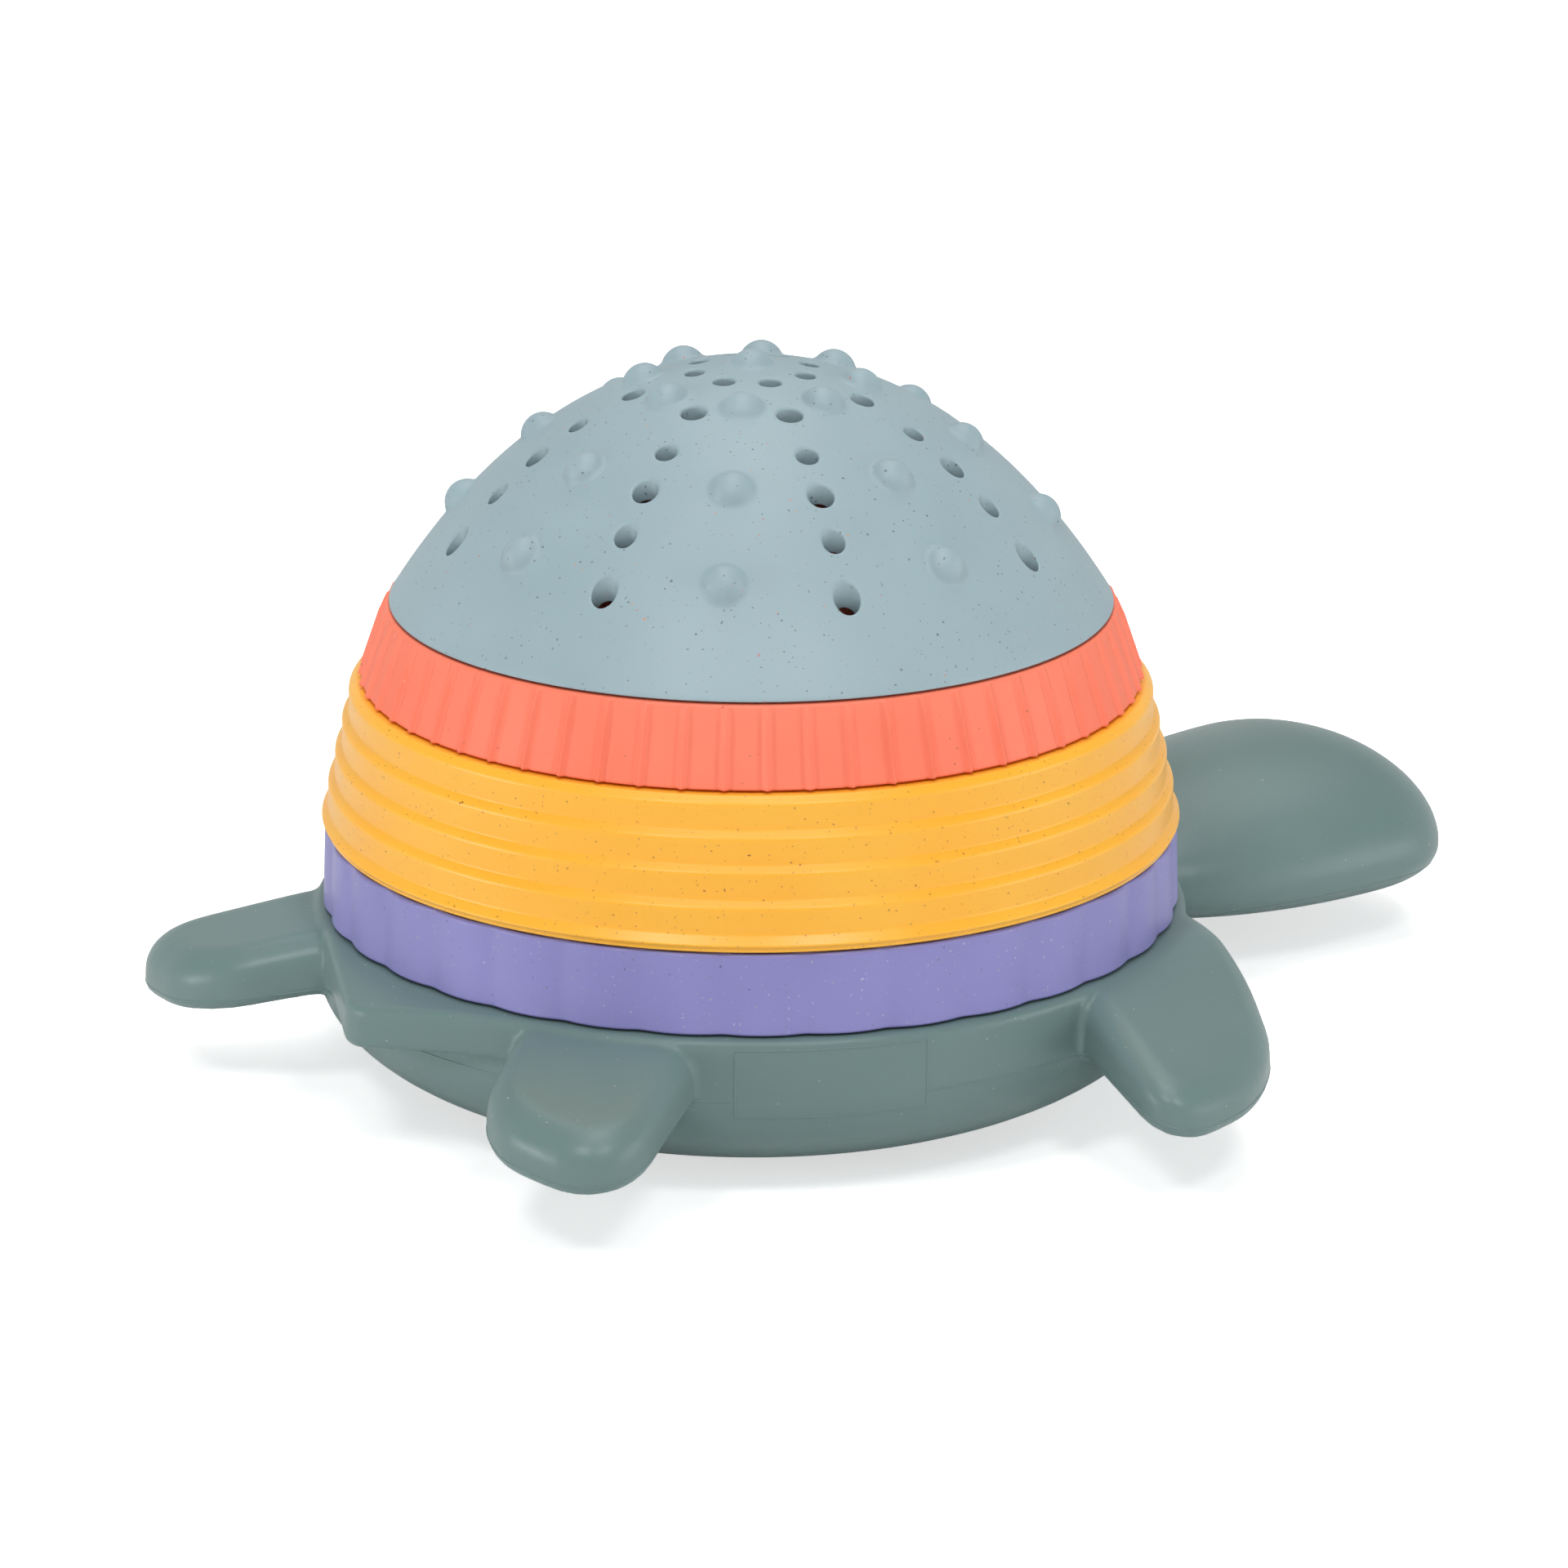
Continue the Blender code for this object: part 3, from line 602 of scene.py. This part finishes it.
turtleBase = {
    "collarRadius": 53.8, "collarTop": 26.2, "collarRounding": 0.6, "collarFootRounding": 0.3,
    "dishRadius": 51.3, "dishFloor": 4.0, "dishFoot": 23.5, "dishSteps": 14,
    "foot": 28.2, "parting": 15.2, "bowlSteps": 16, "deckRounding": 1.0, "cornerSteps": 5,
    "sectors": 8, "steps": 20,
    "headReach": 115.2, "headRoot": 8.8, "headWideAt": 17.4, "headWidth": 51.7, "headRise": 3.5,
    "headDrop": 18.3, "headCheek": 9.8, "headFullness": 0.12, "headParting": 10.9, "headSteps": (72, 36),
    # a flipper's corner: distance outside the deck's edge, angle from the head, rounding;
    # sink: its root's top below the deck; taper: how much more its top falls than its underside
    "front": {"corners": ((8.3, 52.0, 65.0), (23.2, 71.5, 26.0), (24.6, 89.0, 5.8)), "roots": (30.0, 79.5),
              "sink": 0.2, "thickness": 8.6, "angle": 75, "droop": 11.3, "taper": 0.13},
    "rear": {"corners": ((27.8, 139.2, 8.5), (18.0, 155.4, 13.0)), "roots": (134.0, 161.2),
             "sink": 0.7, "thickness": 8.1, "angle": 146, "droop": 10.8, "taper": 0.04},
    "tail": {"corners": ((0, 152.05, 0), (7.7, 180.0, 4.5), (0, 207.95, 0)), "roots": (152.05, 207.95),
             "sink": 0.2, "thickness": 5.6, "angle": 180, "droop": 13.0, "taper": 0},
    "rootDepth": 5.2, "rootSteps": 5, "rootRoom": 0.5, "tipSteps": 8, "roofShare": 0.975,
    "topRounding": 4.2, "edgeRounding": 1.8, "tailRounding": 0.8, "edgeSteps": 6,
    # the bend at a flipper's root: where it starts and is cut, from the deck's edge, and how soft it is
    "bendStart": -3, "bendCuts": range(-2, 9), "bendSoftness": 2.0, "bendLead": 0.2,
    "voxel": 0.5, "smoothing": 4,
    "kept": 0.38,          # share of the triangles kept after the forms are joined
    # a bead: radius, the share of it under the face, height over a flipper's underside, longest step
    # of its path, and how far the path may be from a face
    "bead": {"size": 0.13, "sunk": 0.3, "height": 1.6, "step": 0.8, "reach": 1.2},
    # outline of the insert in the mould: angles of its sides, level of its top and bottom
    "insert": {"angles": (-130.4, -106.0), "levels": (22.0, 12.8)},
}
baseFinish = siliconeRubber("grey_green", {
    "body": "#6e8785", "deep": "#6b8482", "roughness": 0.35,
    "flecks": [
        {"size": 0.32, "spacing": 1.5, "share": 0.55, "tones": ("#c9d2d0", "#b4c0bd")},
        {"size": 0.26, "spacing": 1.4, "share": 0.40, "tones": ("#8d9d9a", "#87968f")},
    ],
})


# Quarter of an ellipse in the XZ plane, as a chain of vertices from its side to its lowest point
def quarterArc(shape, centre, across, down, steps):
    start = shape.verts.new((1, 0, 0))
    bmesh.ops.spin(shape, geom=[start], cent=(0, 0, 0), axis=(0, 1, 0), angle=pi / 2, steps=steps)
    chain = [start]
    while len(chain) <= steps:
        ahead = [e.other_vert(chain[-1]) for e in chain[-1].link_edges]
        chain.append([v for v in ahead if v not in chain][0])
    for v in chain:
        v.co = (centre[0] + v.co.x * across, 0, centre[1] + v.co.z * down)
    return chain


# Bowl on a flat foot, with its deck and the collar round its dish
def makeHull(base):
    deck, edge, parting = stack["deck"], stack["deckRadius"], base["parting"]
    shape = profileLine([(base["dishRadius"], parting, 0),
                         (base["dishRadius"], base["collarTop"], base["collarRounding"]),
                         (base["collarRadius"], base["collarTop"], base["collarRounding"]),
                         (base["collarRadius"], deck, base["collarFootRounding"]),
                         (edge, deck, base["deckRounding"]), (edge, parting, 0)], base["cornerSteps"])
    bowl = quarterArc(shape, (base["foot"], parting), edge - base["foot"], parting, base["bowlSteps"])
    dish = quarterArc(shape, (base["dishFoot"], parting), base["dishRadius"] - base["dishFoot"],
                      parting - base["dishFloor"], base["dishSteps"])
    for chain, level in ((bowl, 0), (dish, base["dishFloor"])):
        shape.edges.new((chain[-1], shape.verts.new((0, 0, level))))
    closeSeams(shape)
    spinRound(shape, base["sectors"], base["steps"])
    return shape


# Vertices together with all their edges and faces
def withLinks(verts):
    edges = {e for v in verts for e in v.link_edges}
    faces = {f for v in verts for f in v.link_faces}
    return verts + list(edges) + list(faces)


# Egg that is fuller in front, cut off inside the hull
def makeHead(shape, base):
    before = set(shape.verts)
    around, upright = base["headSteps"]
    bmesh.ops.create_uvsphere(shape, u_segments=around, v_segments=upright, radius=1)
    egg = [v for v in shape.verts if v not in before]
    widest = base["headReach"] - base["headWideAt"]
    behind = widest - stack["deckRadius"] + base["headRoot"]
    cheek, halfWidth = base["headCheek"], base["headWidth"] / 2
    level = stack["deck"] - cheek
    for v in egg:
        ahead = base["headWideAt"] if v.co.x > 0 else behind
        height = cheek + base["headRise"] if v.co.z > 0 else base["headDrop"] - cheek
        full = 1 + base["headFullness"] * max(0, v.co.x) ** 2
        v.co = (widest + v.co.x * ahead, v.co.y * full * halfWidth, level + v.co.z * full * height)
    root = stack["deckRadius"] - base["rootDepth"]
    cut = bmesh.ops.bisect_plane(shape, geom=withLinks(egg), plane_co=(root, 0, 0), plane_no=(1, 0, 0),
                                 clear_inner=True)
    bmesh.ops.holes_fill(shape, edges=[e for e in cut["geom_cut"] if isinstance(e, bmesh.types.BMEdge)])


# Place on the plan, from its distance outside the deck's edge and its angle from the head
def onPlan(outside, angle, side):
    radius = stack["deckRadius"] + outside
    return Vector((radius * cos(radians(angle)), side * radius * sin(radians(angle)), 0))


# Flat outline of a flipper or the tail, its tips rounded, as one face
def layOutline(shape, base, part, side, level):
    before = set(shape.verts)
    first, last = part["roots"]
    count = base["rootSteps"]
    places = [onPlan(outside, angle, side) for outside, angle, rounding in part["corners"]]
    places += [onPlan(-base["rootDepth"], last + (first - last) * k / count, side) for k in range(count + 1)]
    face = shape.faces.new([shape.verts.new((p.x, p.y, level)) for p in places])
    tips = list(face.verts)[:len(part["corners"])]
    for i, (outside, angle, rounding) in enumerate(part["corners"]):
        if rounding:
            half = (places[i - 1] - places[i]).angle(places[i + 1] - places[i]) / 2
            bmesh.ops.bevel(shape, geom=[tips[i]], offset=rounding / tan(half), offset_type="OFFSET",
                            segments=base["tipSteps"], profile=0.5, affect="VERTICES", material=-1)
    return [f for f in shape.faces if all(v not in before for v in f.verts)][0]


# Raises an outline to a slab whose roof is a little smaller than its floor
def raiseSlab(shape, face, thickness, roofShare):
    raised = bmesh.ops.extrude_face_region(shape, geom=[face], use_keep_orig=True)
    roof = [v for v in raised["geom"] if isinstance(v, bmesh.types.BMVert)]
    bmesh.ops.translate(shape, verts=roof, vec=(0, 0, thickness))
    middle = sum((v.co for v in roof), Vector()) / len(roof)
    bmesh.ops.scale(shape, verts=roof, vec=(roofShare, roofShare, 1), space=Matrix.Translation(-middle))


# Rounds a slab's edge at one level, except at its root inside the hull
def roundEdge(shape, base, made, level, rounding):
    inHull = stack["deckRadius"] - base["rootDepth"] + base["rootRoom"]
    rim = {e for v in made for e in v.link_edges
           if all(abs(w.co.z - level) < weldDistance for w in e.verts)
           and max(w.co.xy.length for w in e.verts) > inHull}
    bmesh.ops.bevel(shape, geom=list(rim), offset=rounding, offset_type="OFFSET", segments=base["edgeSteps"],
                    profile=0.5, affect="EDGES", material=-1, clamp_overlap=True)


# How far a flipper or the tail hangs down at a place, with a soft start at the deck's edge
def droopAt(base, part, out, place):
    away = place.x * out.x + place.y * out.y - stack["deckRadius"]
    soft = (away + sqrt(away ** 2 + base["bendSoftness"] ** 2)) / 2 - base["bendLead"]
    return tan(radians(part["droop"])) * max(0, soft) if away > base["bendStart"] else 0


# Slab over a rounded outline that slopes down outside the deck's edge; returns its parting line
def makePaddle(shape, base, part, side, topRounding, edgeRounding):
    before = set(shape.verts)

    def made():
        return [v for v in shape.verts if v not in before]

    top = stack["deck"] - part["sink"]
    floor = top - part["thickness"]
    face = layOutline(shape, base, part, side, floor)
    outline = [v.co.xy for v in face.verts]
    raiseSlab(shape, face, part["thickness"], base["roofShare"])
    bmesh.ops.recalc_face_normals(shape, faces=list({f for v in made() for f in v.link_faces}))
    roundEdge(shape, base, made(), top, topRounding)
    roundEdge(shape, base, made(), floor, edgeRounding)
    out = Vector((cos(radians(part["angle"])), side * sin(radians(part["angle"])), 0))
    for beyond in base["bendCuts"]:
        bmesh.ops.bisect_plane(shape, geom=withLinks(made()), plane_co=out * (stack["deckRadius"] + beyond),
                               plane_no=out)
    for v in made():
        away = max(0, v.co.dot(out) - stack["deckRadius"])
        thinner = part["taper"] * away * (v.co.z - floor) / part["thickness"]
        v.co.z -= droopAt(base, part, out, v.co) + thinner
    level = floor + base["bead"]["height"]
    return [Vector((p.x, p.y, level - droopAt(base, part, out, p))) for p in outline + outline[:1]]


# Makes one closed moulding with soft creases of all the forms
def joinForms(shape, base):
    rough = bpy.data.meshes.new("turtle_base_forms")
    shape.to_mesh(rough)
    shape.free()
    forms = bpy.data.objects.new("turtle_base_forms", rough)
    bpy.context.scene.collection.objects.link(forms)
    weld = forms.modifiers.new("OneMoulding", "REMESH")
    weld.mode = "VOXEL"
    weld.voxel_size = base["voxel"]
    soften = forms.modifiers.new("SoftCreases", "SMOOTH")
    soften.iterations = base["smoothing"]
    thin = forms.modifiers.new("FewerFaces", "DECIMATE")
    thin.ratio = base["kept"]
    joined = bmesh.new()
    joined.from_mesh(forms.evaluated_get(bpy.context.evaluated_depsgraph_get()).to_mesh())
    bpy.data.objects.remove(forms)
    return joined


# The parting line round the head
def headSeam(base):
    widest = base["headReach"] - base["headWideAt"]
    seam = []
    for a in map(radians, range(0, 362, 2)):
        ahead = base["headWideAt"] if cos(a) > 0 else widest - stack["deckRadius"]
        seam.append(Vector((widest + ahead * cos(a), base["headWidth"] / 2 * sin(a), base["headParting"])))
    return seam


# The parting line round the hull, except at the insert, and the outline of the insert
def hullSeams(base):
    edge, (first, last), (high, low) = stack["deckRadius"], base["insert"]["angles"], base["insert"]["levels"]
    span = last - first
    rounds = [(last + k, base["parting"]) for k in range(int(360 - span) + 1)]
    insert = [(first, high), (first, low)] + [(first + k, low) for k in range(1, int(span))]
    insert += [(last, low), (last, high)] + [(last - k, high) for k in range(1, int(span))] + [(first, high)]
    return [[Vector((edge * cos(radians(a)), edge * sin(radians(a)), level)) for a, level in path]
            for path in (rounds, insert)]


# Points no further apart than a given distance along a path
def finePath(path, longest):
    fine = [path[0]]
    for start, end in zip(path, path[1:]):
        count = int((end - start).length / longest) + 1
        fine += [start.lerp(end, k / count) for k in range(1, count + 1)]
    return fine


# Thin bead along a path on the moulding's face, where two parts of the mould met
def addBead(shape, faces, path, bead):
    curve = bpy.data.curves.new("bead", "CURVE")
    curve.dimensions = "3D"
    curve.bevel_depth = bead["size"]
    curve.bevel_resolution = 1
    curve.use_fill_caps = True
    run = None
    for p in finePath(path, bead["step"]):
        place, normal, face, away = faces.find_nearest(p)
        if away > bead["reach"]:       # buried where one form enters another
            run = None
            continue
        if run:
            run.points.add(1)
        else:
            run = curve.splines.new("POLY")
        run.points[-1].co = (*(place - normal * bead["size"] * bead["sunk"]), 1)
    line = bpy.data.objects.new("bead", curve)
    shape.from_mesh(line.to_mesh())
    bpy.data.objects.remove(line)


def makeTurtleBase(base):
    shape = makeHull(base)
    makeHead(shape, base)
    seams = []
    for side in (1, -1):
        for part in (base["front"], base["rear"]):
            seams.append(makePaddle(shape, base, part, side, base["topRounding"], base["edgeRounding"]))
    makePaddle(shape, base, base["tail"], 1, base["tailRounding"], base["tailRounding"])
    shape = joinForms(shape, base)
    faces = BVHTree.FromBMesh(shape)
    for seam in seams + [headSeam(base)] + hullSeams(base):
        addBead(shape, faces, seam, base["bead"])
    finishPiece(shape, "turtle_base", baseFinish)


makeTurtleBase(turtleBase)


# Studio: white floor and backdrop, and six soft lamps, with sizes in metres

studio = {
    "floorHalf": 4.0, "floorGap": 0.00005, "floorColour": "#fafafa", "floorRoughness": 0.9,
    # the floor's own white for the camera: round the toy, where its shadow falls, and from a distance on
    "nearWhite": 0.6, "nearRadius": 0.3, "farWhite": 1.0, "farRadius": 0.8,
    # the room: white walls up to a height, as the sine of its angle, and a dim ceiling
    "wall": 0.66, "ceiling": 0.1, "wallTop": (0.15, 0.55),
    # where the lamps aim; a lamp: angle to the right of the camera, height angle, distance, size, power
    "aim": (0, 0, 0.045),
    "lamps": {
        "left": (-74, 4, 1.1, 0.35, 2.7), "right": (76, 5, 1.1, 0.8, 3.4),
        "frontLeft": (-27, 50, 1.3, 0.3, 3.7), "frontRight": (23, 50, 1.3, 0.3, 3.5),
        "top": (0, 88, 1.5, 0.9, 6.6), "back": (180, 58, 1.5, 1.2, 5.5),
    },
}


# White for the camera, and a room of pale walls and a dim ceiling for the toy
def makeBackdrop(room):
    world = bpy.data.worlds.new("white_studio")
    world.use_nodes = True
    bpy.context.scene.world = world
    tree = world.node_tree
    backdrop = tree.nodes["Background"]
    backdrop.inputs["Color"].default_value = linearColour("#ffffff")
    path = addNode(tree, "ShaderNodeLightPath", {})
    coords = addNode(tree, "ShaderNodeTexCoord", {})
    axes = addNode(tree, "ShaderNodeSeparateXYZ", {}, [("Vector", coords, "Generated")])
    walls = addNode(tree, "ShaderNodeMapRange",
                    {"From Min": room["wallTop"][0], "From Max": room["wallTop"][1],
                     "To Min": room["wall"], "To Max": room["ceiling"]},
                    [("Value", axes, "Z")])
    strength = addNode(tree, "ShaderNodeMapRange", {"To Max": 1},
                       [("Value", path, "Is Camera Ray"), ("To Min", walls, "Result")])
    tree.links.new(strength.outputs["Result"], backdrop.inputs["Strength"])


# Matt white paint that looks whiter to the camera than it lights the toy, more so further out
def floorPaint(room):
    paint = bpy.data.materials.new("matt_white_floor")
    paint.use_nodes = True
    tree = paint.node_tree
    shader = tree.nodes["Principled BSDF"]
    shader.inputs["Base Color"].default_value = linearColour(room["floorColour"])
    shader.inputs["Roughness"].default_value = room["floorRoughness"]
    shader.inputs["Specular IOR Level"].default_value = 0
    shader.inputs["Emission Color"].default_value = linearColour("#ffffff")
    path = addNode(tree, "ShaderNodeLightPath", {})
    coords = addNode(tree, "ShaderNodeTexCoord", {})
    away = addNode(tree, "ShaderNodeVectorMath", {"operation": "LENGTH"}, [(0, coords, "Object")])
    white = addNode(tree, "ShaderNodeMapRange",
                    {"From Min": room["nearRadius"], "From Max": room["farRadius"],
                     "To Min": room["nearWhite"], "To Max": room["farWhite"]},
                    [("Value", away, "Value")])
    glow = addNode(tree, "ShaderNodeMapRange", {"To Min": 0},
                   [("Value", path, "Is Camera Ray"), ("To Max", white, "Result")])
    tree.links.new(glow.outputs["Result"], shader.inputs["Emission Strength"])
    return paint


def layFloor(room):
    shape = bmesh.new()
    bmesh.ops.create_grid(shape, x_segments=2, y_segments=2, size=room["floorHalf"],
                          matrix=Matrix.Translation((0, 0, -room["floorGap"])))
    mesh = bpy.data.meshes.new("floor")
    shape.to_mesh(mesh)
    shape.free()
    mesh.materials.append(floorPaint(room))
    floor = bpy.data.objects.new("floor", mesh)
    bpy.context.scene.collection.objects.link(floor)


def hangLamps(room):
    for name, (side, up, distance, size, power) in room["lamps"].items():
        lamp = bpy.data.objects.new(name + "_lamp", bpy.data.lights.new(name + "_lamp", "AREA"))
        bpy.context.scene.collection.objects.link(lamp)
        lamp.data.shape = "DISK"
        lamp.data.size = size
        lamp.data.energy = power
        around = radians(-90 - view["heading"] + side)
        away = Vector((cos(around) * cos(radians(up)), sin(around) * cos(radians(up)), sin(radians(up))))
        lamp.location = Vector(room["aim"]) + away * distance
        lamp.rotation_euler = (-away).to_track_quat("-Z", "Y").to_euler()


makeBackdrop(studio)
layFloor(studio)
hangLamps(studio)
bpy.context.scene.view_settings.view_transform = "Standard"
print("studio lit")
